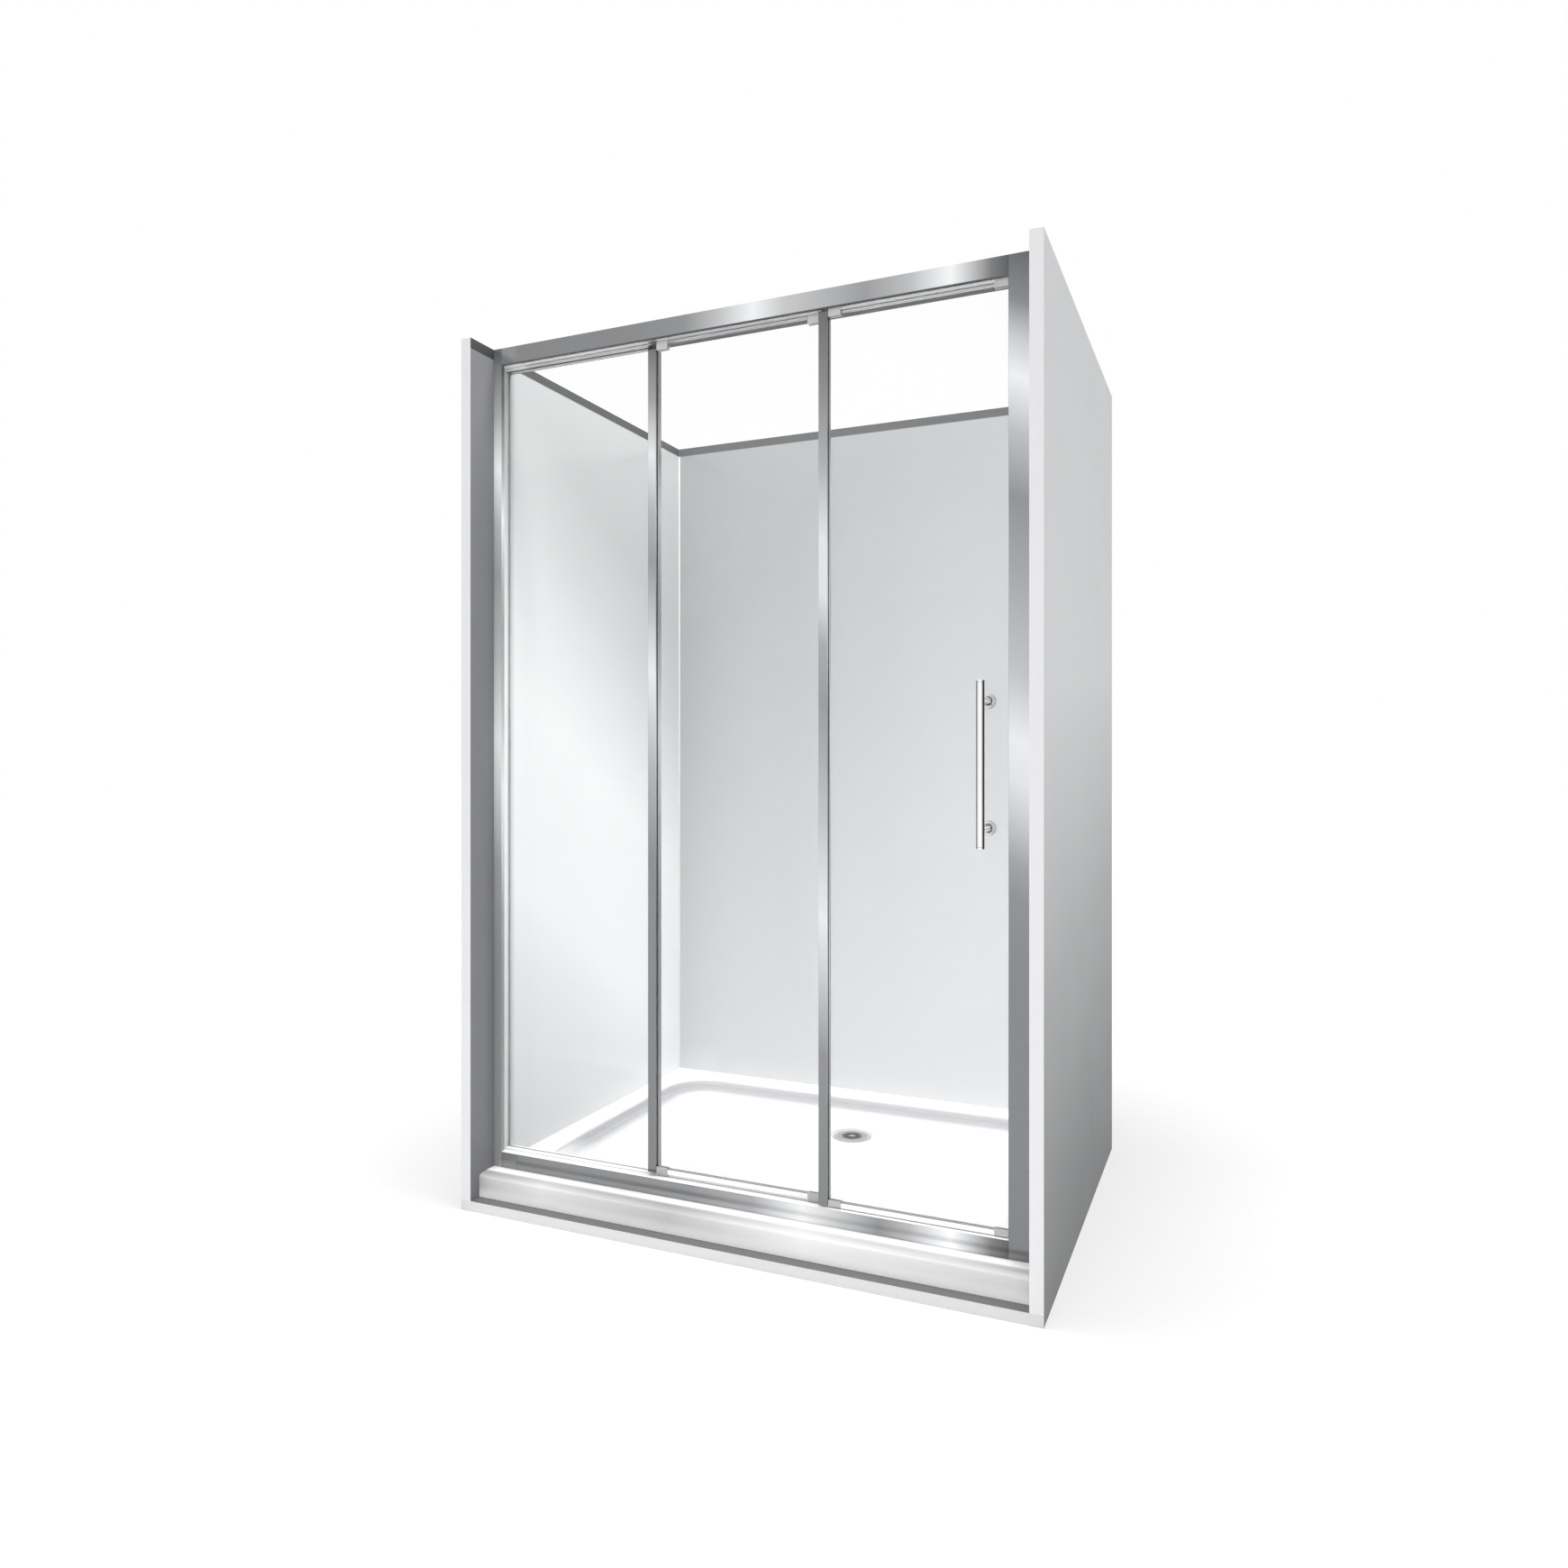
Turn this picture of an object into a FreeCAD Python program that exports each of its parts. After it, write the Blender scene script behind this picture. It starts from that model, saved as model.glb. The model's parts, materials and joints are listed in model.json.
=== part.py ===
import FreeCAD, Part
import math
import os
import re

os.makedirs("parts", exist_ok=True)
doc = FreeCAD.newDocument("shower_enclosure")

# Driving dimensions in millimetres. X runs along the front, +Y to the back, +Z up.
sizes = {
    # boards round the alcove
    "alcove_width": 1200,
    "alcove_depth": 925,
    "total_height": 1890,
    "board": 25,
    "base_board": 22,
    "dowel_radius": 4,
    "dowel_in_side": 15,
    "dowel_in_edge": 25,
    "dowel_margin": 110,
    "base_dowels": 3,
    "back_dowels": 4,
    "hole_gap": 0.1,
    "past": 1,
    # liner sheets
    "liner": 3,
    "liner_drop": 23,
    # tray
    "tray_height": 50,
    "tray_setback": 28,
    "tray_gap": 0.5,
    "front_rim": 122,
    "side_rim": 56,
    "basin_depth": 24,
    "basin_corner": 110,
    "cove_radius": 12,
    "rim_radius": 9,
    "dish_inset": 56,
    "dish_depth": 9,
    "dish_flat": 124,
    # waste
    "waste_from_left": 632,
    "waste_from_front": 672,
    "recess_radius": 52,
    "recess_depth": 3,
    "tray_hole_radius": 30,
    "flange_radius": 42,
    "flange_thickness": 2.4,
    "skirt_radius": 29,
    "waste_bore": 22,
    "grate_radius": 25,
    "grate_thickness": 2.2,
    "grate_gap": 0.3,
    "slot_start": 8,
    "slot_length": 11,
    "slot_width": 3.6,
    "grate_slots": 8,
    "waste_screw_radius": 2.5,
    "waste_head_radius": 4.6,
    "waste_head": 1.8,
    "waste_head_round": 0.6,
    "waste_body_radius": 40,
    "waste_hole_radius": 46,
    "outlet_radius": 25,
    "outlet_depth": 11,
    "waste_gasket": 2,
    "waste_gasket_inset": 1,
    "waste_bar_width": 9,
    "waste_bar_low": 12,
    "waste_bar": 5,
    # frame
    "frame_setback": 79,
    "header_height": 38,
    "sill_height": 34,
    "sill_lip": 5,
    "sill_lip_width": 8,
    "frame_wall": 2.5,
    "face_wall": 4,
    "shelf_rise": 3,
    "first_lane": 14,
    "lane_pitch": 18,
    "pocket_width": 9,
    "header_pocket": 16,
    "sill_pocket": 15,
    "slot_front": 5.5,
    "slot_back": 0.7,
    "track_web": 2,
    "track_web_offset": 6.5,
    "groove_half": 2.2,
    "groove_depth": 12,
    "screw_port": 8,
    "corner_screw_radius": 2,
    "corner_head_radius": 3.5,
    "corner_head": 1.2,
    "corner_screw_length": 20,
    "joint_gap": 0.2,
    # jambs
    "left_face": 20.5,
    "left_depth": 26,
    "left_lip": 10,
    "right_face": 52,
    "right_lip": 5.5,
    "jamb_wall": 2.5,
    "jamb_flange": 2,
    "jamb_screw_radius": 2,
    "jamb_head_radius": 4,
    "jamb_head": 2,
    "jamb_screw_length": 18,
    "jamb_screw_margin": 130,
    "jamb_screw_count": 4,
    # panels
    "glass": 6,
    "glass_fit": 0.1,
    "stile_width": 19,
    "stile_depth": 14,
    "stile_bite": 12,
    "closing_inset": 35,
    "door_width": 390,
    "middle_width": 408,
    "overlap": 14,
    "top_gap": 4,
    "bottom_gap": 4,
    "cap": 2.5,
    "park_inset": 27,
    "magnet": 3,
    "jamb_magnet": 3.5,
    "seal_gap": 0.3,
    "pile_width": 5,
    "drip_half": 4.5,
    "drip_height": 8,
    "drip_fin": 1,
    "drip_fin_offset": 3.2,
    "infill_height": 10,
    "gasket_height": 12,
    "setting_block": 3,
    "setting_block_length": 60,
    "setting_block_inset": 77,
    "channel_width": 12,
    "channel_wall": 3,
    "channel_half": 5,
    # hangers, wheels and guides
    "hanger_length": 26,
    "clamp_half": 5.5,
    "clamp_leg": 10,
    "plate_front": 4.5,
    "plate": 3,
    "plate_above": 6,
    "wheel_radius": 9,
    "wheel_width": 5.6,
    "wheel_gap": 0.1,
    "wheel_side_gap": 0.2,
    "wheel_recess": 1,
    "hub_radius": 4.6,
    "tread": 2,
    "axle_radius": 2.5,
    "axle_fit": 0.05,
    "axle_head_radius": 4,
    "axle_head": 1.2,
    "axle_shoulder_radius": 3.5,
    "axle_shoulder": 0.6,
    "axle_collar": 1,
    "fin_half": 1.5,
    "fin_depth": 10,
    "stop_length": 14,
    "stop_height": 12,
    # handle
    "handle_inset": 55,
    "handle_middle": 967,
    "bar_length": 300,
    "bar_radius": 7.5,
    "bar_round": 1.5,
    "post_spacing": 232,
    "post_radius": 7,
    "standoff": 70,
    "rosette_radius": 14,
    "rosette": 12,
    "rosette_round": 2,
    "stud_radius": 4,
    "stud_in_rosette": 8,
    "glass_hole_radius": 6,
    "handle_cap_radius": 11,
    "handle_cap": 5,
    "handle_cap_round": 1.5,
}

# Places that follow from the driving dimensions
places = {
    "left": "-alcove_width / 2",
    "right": "alcove_width / 2",
    "front": "-(alcove_depth + board) / 2",
    "back": "front + alcove_depth",
    "rim": "base_board + tray_height",
    "basin_floor": "rim - basin_depth",
    "dish_floor": "basin_floor - dish_depth",
    "recess_floor": "dish_floor - recess_depth",
    "basin_left": "left + tray_gap + side_rim",
    "basin_right": "right - tray_gap - side_rim",
    "basin_front": "front + tray_setback + front_rim",
    "basin_back": "back - tray_gap - side_rim",
    "waste_x": "left + waste_from_left",
    "waste_y": "front + waste_from_front",
    "body_top": "base_board - waste_gasket",
    "face": "front + frame_setback",
    "door_lane": "face + first_lane",
    "middle_lane": "door_lane + lane_pitch",
    "fixed_lane": "middle_lane + lane_pitch",
    "pocket_front": "fixed_lane - pocket_width / 2",
    "pocket_back": "fixed_lane + pocket_width / 2",
    "frame_back": "pocket_back + frame_wall",
    "header_bottom": "total_height - header_height",
    "shelf": "header_bottom + shelf_rise",
    "shelf_top": "shelf + frame_wall",
    "sill_top": "rim + sill_height",
    "deck": "sill_top - sill_lip",
    "groove_floor": "deck - groove_depth",
    "pocket_floor": "deck - sill_pocket",
    "glass_top": "header_bottom - top_gap",
    "glass_bottom": "sill_top + bottom_gap",
    "rail_left": "left + liner + joint_gap",
    "rail_right": "right - jamb_wall - joint_gap",
    "door_right": "right - closing_inset",
    "door_left": "door_right - door_width",
    "middle_right": "door_left + overlap",
    "middle_left": "middle_right - middle_width",
    "fixed_right": "middle_left + overlap",
    "magnet_plate": "door_right + magnet + seal_gap + jamb_magnet",
    "fixed_bottom": "pocket_floor + setting_block",
    "fixed_top": "header_bottom + header_pocket - frame_wall",
    "pane_left": "left + liner + channel_wall",
    "pane_right": "fixed_right - stile_width + stile_bite - seal_gap",
    "wheel_z": "shelf_top + wheel_radius + wheel_gap",
    "handle_x": "door_right - handle_inset",
    "outer_glass": "door_lane - glass / 2",
    "inner_glass": "door_lane + glass / 2",
    "bar_y": "outer_glass - standoff",
}

sheet = doc.addObject("Spreadsheet::Sheet", "Sizes")
for row, (alias, number) in enumerate(sizes.items(), start=1):
    sheet.set(f"A{row}", alias)
    sheet.set(f"B{row}", str(number))
    sheet.setAlias(f"B{row}", alias)
doc.recompute()

nodes = []


def spell(text):
    """Write an expression with places opened up and sizes pointing at the sheet."""
    def swap(match):
        word = match.group(0)
        if word in places:
            return f"({spell(places[word])})"
        return f"Sizes.{word}" if word in sizes else word
    return re.sub(r"(?<![\w.])[a-z_]+\b", swap, text)


def bind(piece, name, text):
    piece.setExpression(name, spell(text))


def node(label, piece):
    piece.Label = label
    nodes.append(piece)
    return piece


def box(x, y, z):
    piece = doc.addObject("Part::Box", "block")
    for axis, side, (low, high) in zip("xyz", ("Length", "Width", "Height"), (x, y, z)):
        bind(piece, side, f"({high}) - ({low})")
        bind(piece, f"Placement.Base.{axis}", low)
    return piece


def rod(along, start, length, radius):
    """A cylinder from the point start, running along +x, +y or +z."""
    turns = {"x": ((0, 1, 0), 90), "y": ((1, 0, 0), -90), "z": ((0, 0, 1), 0)}
    axis, angle = turns[along]
    piece = doc.addObject("Part::Cylinder", "rod")
    piece.Placement.Rotation = FreeCAD.Rotation(FreeCAD.Vector(*axis), angle)
    for name, text in zip("xyz", start):
        bind(piece, f"Placement.Base.{name}", text)
    bind(piece, "Height", length)
    bind(piece, "Radius", radius)
    return piece


def fuse(*pieces):
    whole = doc.addObject("Part::MultiFuse", "union")
    whole.Shapes = list(pieces)
    whole.Refine = True
    return whole


def cut(base, *tools):
    whole = doc.addObject("Part::Cut", "difference")
    whole.Base = base
    whole.Tool = tools[0] if len(tools) == 1 else fuse(*tools)
    whole.Refine = True
    return whole


def group(*pieces):
    whole = doc.addObject("Part::Compound", "group")
    whole.Links = list(pieces)
    return whole


def rounded(base, size, chosen):
    """Fillet the edges of base that chosen picks, by the named size."""
    doc.recompute()
    radius = sheet.get(size)
    whole = doc.addObject("Part::Fillet", "round")
    whole.Base = base
    edges = enumerate(base.Shape.Edges, start=1)
    whole.Edges = [(index, radius, radius) for index, edge in edges if chosen(edge)]
    return whole


def at_height(edge, height):
    return all(abs(point.Z - height) < 0.01 for point in edge.Vertexes)


def along_front(edge, front):
    return all(abs(point.Y - front) < 0.01 for point in edge.Vertexes)


def within(edge, limits):
    return limits.isInside(edge.CenterOfMass)


def upright(edge):
    ends = edge.Vertexes
    return len(ends) == 2 and abs(ends[0].X - ends[1].X) + abs(ends[0].Y - ends[1].Y) < 0.01


def around(middle, half):
    return (f"{middle} - ({half})", f"{middle} + ({half})")


def spread(first, last, count):
    """As many evenly spaced places from first to last as the sheet's count says."""
    steps = int(sheet.get(count)) - 1
    return [f"{first} + ({last} - ({first})) * {step} / {steps}" for step in range(steps + 1)]


def make_boards():
    depth = ("front", "back + board")
    full = ("0", "total_height")
    along_base = spread("front + dowel_margin", "back - dowel_margin", "base_dowels")
    up_back = spread("dowel_margin", "total_height - dowel_margin", "back_dowels")
    spots = [(y, "base_board / 2") for y in along_base] + [("back + board / 2", z) for z in up_back]
    length = "dowel_in_side + dowel_in_edge"
    wide_length = f"{length} + 2 * hole_gap"
    starts = {"left": "left - dowel_in_side", "right": "right - dowel_in_edge"}
    holes = {"left": [], "right": []}
    dowels = []
    for side, start in starts.items():
        for y, z in spots:
            dowels.append(rod("x", (start, y, z), length, "dowel_radius"))
            place = (f"{start} - hole_gap", y, z)
            holes[side].append(rod("x", place, wide_length, "dowel_radius + hole_gap"))
    low = len(along_base)
    base_holes = holes["left"][:low] + holes["right"][:low]
    back_holes = holes["left"][low:] + holes["right"][low:]
    screw_holes = {"left": jamb_screws("left", "hole_gap"), "right": jamb_screws("right", "hole_gap")}
    left = box(("left - board", "left"), depth, full)
    right = box(("right", "right + board"), depth, full)
    node("wall_left", cut(left, *holes["left"], *screw_holes["left"]))
    node("wall_right", cut(right, *holes["right"], *screw_holes["right"]))
    back = box(("left", "right"), ("back", "back + board"), full)
    node("wall_back", cut(back, *back_holes))
    base = box(("left", "right"), ("front", "back"), ("0", "base_board"))
    drain = rod("z", ("waste_x", "waste_y", "-past"), "base_board + 2 * past", "waste_hole_radius")
    node("base_board", cut(base, drain, *base_holes))
    node("panel_dowels", group(*dowels))


def jamb_screw_places(side):
    lane = "face + (left_lip + left_depth) / 2" if side == "left" else "fixed_lane - first_lane / 2"
    rises = spread("sill_top + jamb_screw_margin", "header_bottom - jamb_screw_margin", "jamb_screw_count")
    return [(lane, z) for z in rises]


def jamb_screws(side, gap):
    """Shanks of the screws that hold a jamb to its board, wider by gap when they are holes."""
    start = "left - jamb_screw_length" if side == "left" else "right - jamb_wall"
    length = "jamb_screw_length + jamb_wall"
    return [rod("x", (f"{start} - ({gap})", y, z), f"{length} + 2 * ({gap})", f"jamb_screw_radius + ({gap})")
            for y, z in jamb_screw_places(side)]


def jamb_heads(side):
    start = "left + jamb_wall" if side == "left" else "right - jamb_wall - jamb_head"
    return [rod("x", (start, y, z), "jamb_head", "jamb_head_radius") for y, z in jamb_screw_places(side)]


def make_liners():
    height = ("rim", "total_height - liner_drop")
    start = "face + left_depth + joint_gap"
    node("liner_left", box(("left", "left + liner"), (start, "back"), height))
    node("liner_right", box(("right - liner", "right"), ("frame_back + joint_gap", "back"), height))
    node("liner_back", box(("left + liner", "right - liner"), ("back - liner", "back"), height))


def make_tray():
    outer = box(("left + tray_gap", "right - tray_gap"), ("front + tray_setback", "back - tray_gap"),
                ("base_board", "rim"))
    rim = sheet.get("base_board") + sheet.get("tray_height")
    front = -(sheet.get("alcove_depth") + sheet.get("board")) / 2 + sheet.get("tray_setback")
    slab = rounded(outer, "rim_radius", lambda edge: at_height(edge, rim) and along_front(edge, front))
    hollow = box(("basin_left", "basin_right"), ("basin_front", "basin_back"), ("basin_floor", "rim"))
    corners = rounded(hollow, "basin_corner", upright)
    floor = rim - sheet.get("basin_depth")
    basin = rounded(corners, "cove_radius", lambda edge: at_height(edge, floor))
    dish = doc.addObject("Part::Wedge", "dish")
    dish.Placement.Rotation = FreeCAD.Rotation(FreeCAD.Vector(1, 0, 0), 90)
    bind(dish, "Ymin", "dish_floor")
    bind(dish, "Ymax", "basin_floor")
    bind(dish, "Xmin", "waste_x - dish_flat / 2")
    bind(dish, "Xmax", "waste_x + dish_flat / 2")
    bind(dish, "Zmin", "-(waste_y + dish_flat / 2)")
    bind(dish, "Zmax", "-(waste_y - dish_flat / 2)")
    bind(dish, "X2min", "basin_left + dish_inset")
    bind(dish, "X2max", "basin_right - dish_inset")
    bind(dish, "Z2min", "-(basin_back - dish_inset)")
    bind(dish, "Z2max", "-(basin_front + dish_inset)")
    recess = rod("z", ("waste_x", "waste_y", "recess_floor"), "recess_depth + past", "recess_radius")
    hole = rod("z", ("waste_x", "waste_y", "base_board - past"), "recess_floor - base_board + 2 * past",
               "tray_hole_radius")
    tray = cut(slab, basin, dish, recess, hole)
    doc.recompute()
    mouth = basin.Shape.BoundBox
    soft = rounded(tray, "rim_radius", lambda edge: at_height(edge, rim) and within(edge, mouth))
    node("shower_tray", soft)


def make_waste():
    centre = ("waste_x", "waste_y")
    ring = rod("z", (*centre, "recess_floor"), "flange_thickness", "flange_radius")
    skirt = rod("z", (*centre, "body_top"), "recess_floor - body_top", "skirt_radius")
    seat = rod("z", (*centre, "recess_floor"), "flange_thickness + past", "grate_radius")
    bore = rod("z", (*centre, "body_top - past"), "recess_floor - body_top + 2 * past", "waste_bore")
    node("waste_flange", cut(fuse(ring, skirt), seat, bore))
    seal = rod("z", (*centre, "body_top"), "waste_gasket", "waste_body_radius - waste_gasket_inset")
    seal_hole = rod("z", (*centre, "body_top - past"), "waste_gasket + 2 * past", "tray_hole_radius")
    node("waste_gasket", cut(seal, seal_hole))
    disc = rod("z", (*centre, "recess_floor"), "grate_thickness", "grate_radius - grate_gap")
    through = "grate_thickness + 2 * past"
    gaps = [rod("z", (*centre, "recess_floor - past"), through, "waste_screw_radius + hole_gap")]
    slots = int(sheet.get("grate_slots"))
    for step in range(slots):
        angle = 360 / slots * step
        cos, sin = math.cos(math.radians(angle)), math.sin(math.radians(angle))
        gap = doc.addObject("Part::Box", "slot")
        gap.Placement.Rotation = FreeCAD.Rotation(FreeCAD.Vector(0, 0, 1), angle)
        bind(gap, "Length", "slot_length")
        bind(gap, "Width", "slot_width")
        bind(gap, "Height", through)
        bind(gap, "Placement.Base.x", f"waste_x + slot_start * {cos:.5f} + slot_width / 2 * {sin:.5f}")
        bind(gap, "Placement.Base.y", f"waste_y + slot_start * {sin:.5f} - slot_width / 2 * {cos:.5f}")
        bind(gap, "Placement.Base.z", "recess_floor - past")
        gaps.append(gap)
    node("waste_grate", cut(disc, *gaps))
    top = "recess_floor + grate_thickness"
    shank = rod("z", (*centre, "waste_bar_low"), f"{top} - waste_bar_low", "waste_screw_radius")
    head = rod("z", (*centre, top), "waste_head", "waste_head_radius")
    dome = rounded(head, "waste_head_round", lambda edge: edge.isClosed() and on_top(edge, head))
    node("waste_screw", fuse(shank, dome))
    cup = rod("z", (*centre, "0"), "body_top", "waste_body_radius")
    throat = rod("z", (*centre, "-past"), "body_top + 2 * past", "waste_bore")
    outlet = rod("z", (*centre, "-past"), "outlet_depth + past", "outlet_radius")
    bar = box(around("waste_x", "waste_bore + past"), around("waste_y", "waste_bar_width / 2"),
              ("waste_bar_low", "waste_bar_low + waste_bar"))
    thread = rod("z", (*centre, "waste_bar_low - past"), "waste_bar + 2 * past",
                 "waste_screw_radius + hole_gap")
    node("waste_body", cut(fuse(cut(cup, throat, outlet), bar), thread))


def corner_screws(gap):
    """Screws from the jamb webs into the ports of header and sill, wider by gap as holes."""
    spots = ["total_height - frame_wall - screw_port / 2", "rim + frame_wall + screw_port / 2"]
    port_y = "face + face_wall + screw_port / 2"
    screws = []
    for z in spots:
        for side in ("left", "right"):
            start = "left + corner_head" if side == "left" else "right - corner_head - corner_screw_length"
            head = f"left - ({gap})" if side == "left" else "right - corner_head"
            shank = rod("x", (f"{start} - ({gap})", port_y, z), f"corner_screw_length + 2 * ({gap})",
                        f"corner_screw_radius + ({gap})")
            cap = rod("x", (head, port_y, z), f"corner_head + ({gap})", f"corner_head_radius + ({gap})")
            screws.append(fuse(shank, cap))
    return screws


def notches(z):
    """Room in header and sill for the faces of the two jambs."""
    y = ("face - past", "face + jamb_flange + joint_gap")
    return [box(("left", "left + left_face + joint_gap"), y, z),
            box(("right - right_face - joint_gap", "right"), y, z)]


def make_header():
    x = ("rail_left", "rail_right")
    tall = ("header_bottom", "total_height")
    ledge = ("shelf", "shelf_top")
    hung = ("shelf", "total_height")
    web = "door_lane + track_web_offset"
    walls = [
        box(x, ("face", "face + face_wall"), tall),
        box(x, ("face", "frame_back"), ("total_height - frame_wall", "total_height")),
        box(x, ("pocket_back", "frame_back"), tall),
        box(x, ("face", "door_lane - slot_front"), ledge),
        box(x, ("door_lane - slot_back", "middle_lane - slot_front"), ledge),
        box(x, (web, f"{web} + track_web"), hung),
        box(x, ("middle_lane - slot_back", "pocket_front"), ledge),
        box(x, ("pocket_front - frame_wall", "pocket_front"), ("header_bottom", "total_height")),
        box(x, ("pocket_front", "pocket_back"),
            ("header_bottom + header_pocket", "header_bottom + header_pocket + frame_wall")),
        box(x, ("face", "face + face_wall + screw_port"),
            ("total_height - frame_wall - screw_port", "total_height")),
    ]
    rooms = notches(("header_bottom - past", "total_height + past"))
    shape = cut(fuse(*walls), *rooms, *corner_screws("hole_gap"))
    node("header_rail", shape)
    strip_y = around("fixed_lane", "pocket_width / 2 - joint_gap")
    strip_x = ("fixed_right + joint_gap", "rail_right")
    node("header_infill", box(strip_x, strip_y, ("header_bottom", "header_bottom + infill_height")))


def make_sill():
    x = ("rail_left", "rail_right")
    lower = ("rim + frame_wall", "groove_floor - frame_wall")
    upper = ("rim + frame_wall", "deck - frame_wall")
    body = box(x, ("face", "frame_back"), ("rim", "deck"))
    lip = box(x, ("face", "face + sill_lip_width"), ("rim", "sill_top"))
    wall = "(groove_half + frame_wall)"
    hollows = [
        box(x, ("face + face_wall", "pocket_front - frame_wall"), lower),
        box(x, ("face + face_wall", f"door_lane - {wall}"), upper),
        box(x, (f"door_lane + {wall}", f"middle_lane - {wall}"), upper),
        box(x, (f"middle_lane + {wall}", "pocket_front - frame_wall"), upper),
        box(x, around("door_lane", "groove_half"), ("groove_floor", "sill_top")),
        box(x, around("middle_lane", "groove_half"), ("groove_floor", "sill_top")),
        box(x, ("pocket_front", "pocket_back"), ("pocket_floor", "sill_top")),
    ]
    port = box(x, ("face", "face + face_wall + screw_port"), ("rim", "rim + frame_wall + screw_port"))
    shape = fuse(cut(fuse(body, lip), *hollows), port)
    shape = cut(shape, *notches(("rim - past", "sill_top + past")), *corner_screws("hole_gap"))
    node("sill_rail", shape)
    strip_y = around("fixed_lane", "pocket_width / 2 - joint_gap")
    strip_x = ("fixed_right + joint_gap", "rail_right")
    node("sill_infill", box(strip_x, strip_y, ("deck - infill_height", "deck")))


def make_jambs():
    tall = ("rim", "total_height")
    clear = ("sill_top + joint_gap", "header_bottom - joint_gap")
    inner = "left + left_face"
    parts = [
        box(("left", inner), ("face", "face + jamb_flange"), tall),
        box(("left", "left + jamb_wall"), ("face", "face + left_depth"), tall),
        box((f"{inner} - jamb_flange", inner), ("face", "face + left_lip"), clear),
    ]
    node("jamb_left", cut(fuse(*parts), *jamb_screws("left", "hole_gap"), *corner_screws("hole_gap")))
    edge = "right - right_face"
    box_back = "door_lane + track_web_offset + track_web"
    parts = [
        box((edge, "right"), ("face", "face + jamb_flange"), tall),
        box(("right - jamb_wall", "right"), ("face", "frame_back"), tall),
        box((edge, f"{edge} + jamb_flange"), ("face", "face + right_lip"), clear),
        box(("magnet_plate", "magnet_plate + jamb_wall"), ("face", f"{box_back} + jamb_wall"), clear),
        box(("magnet_plate", "right"), (box_back, f"{box_back} + jamb_wall"), clear),
        box((f"{edge} + jamb_flange", "right"), ("frame_back - frame_wall", "frame_back"), clear),
    ]
    node("jamb_right", cut(fuse(*parts), *jamb_screws("right", "hole_gap"), *corner_screws("hole_gap")))
    screws = []
    for side in ("left", "right"):
        for shank, head in zip(jamb_screws(side, "0"), jamb_heads(side)):
            screws.append(fuse(shank, head))
    node("jamb_screws", group(*screws))
    node("corner_screws", group(*corner_screws("0")))
    strip_x = ("magnet_plate - jamb_magnet", "magnet_plate")
    node("jamb_magnet", box(strip_x, around("door_lane", "stile_depth / 2 - magnet"), clear))


def make_fixed_panel():
    glass_y = around("fixed_lane", "glass / 2")
    slot_y = around("fixed_lane", "glass / 2 + glass_fit")
    pane = ("pane_left", "pane_right")
    node("fixed_glass", box(pane, glass_y, ("fixed_bottom", "fixed_top - glass_fit")))
    upright_z = ("deck", "header_bottom - joint_gap")
    bar_y = around("fixed_lane", "stile_depth / 2")
    bar = box(("fixed_right - stile_width", "fixed_right"), bar_y, upright_z)
    slot_z = ("deck - past", "header_bottom")
    slot = box(("fixed_right - stile_width - past", "fixed_right - stile_width + stile_bite"), slot_y, slot_z)
    node("fixed_stile", cut(bar, slot))
    channel_y = around("fixed_lane", "channel_half")
    channel = box(("left + liner", "left + liner + channel_width"), channel_y, upright_z)
    slot = box(("pane_left", "left + liner + channel_width + past"), slot_y, slot_z)
    node("glazing_channel", cut(channel, slot))
    strips = []
    for z in (("header_bottom", "header_bottom + gasket_height"), ("deck - gasket_height", "deck")):
        strips.append(box(pane, ("pocket_front", "fixed_lane - glass / 2"), z))
        strips.append(box(pane, ("fixed_lane + glass / 2", "pocket_back"), z))
    node("glazing_gaskets", group(*strips))
    block_y = around("fixed_lane", "pocket_width / 2 - joint_gap")
    blocks = [box(around(middle, "setting_block_length / 2"), block_y, ("pocket_floor", "fixed_bottom"))
              for middle in ("pane_left + setting_block_inset", "pane_right - setting_block_inset")]
    node("setting_blocks", group(*blocks))


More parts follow.
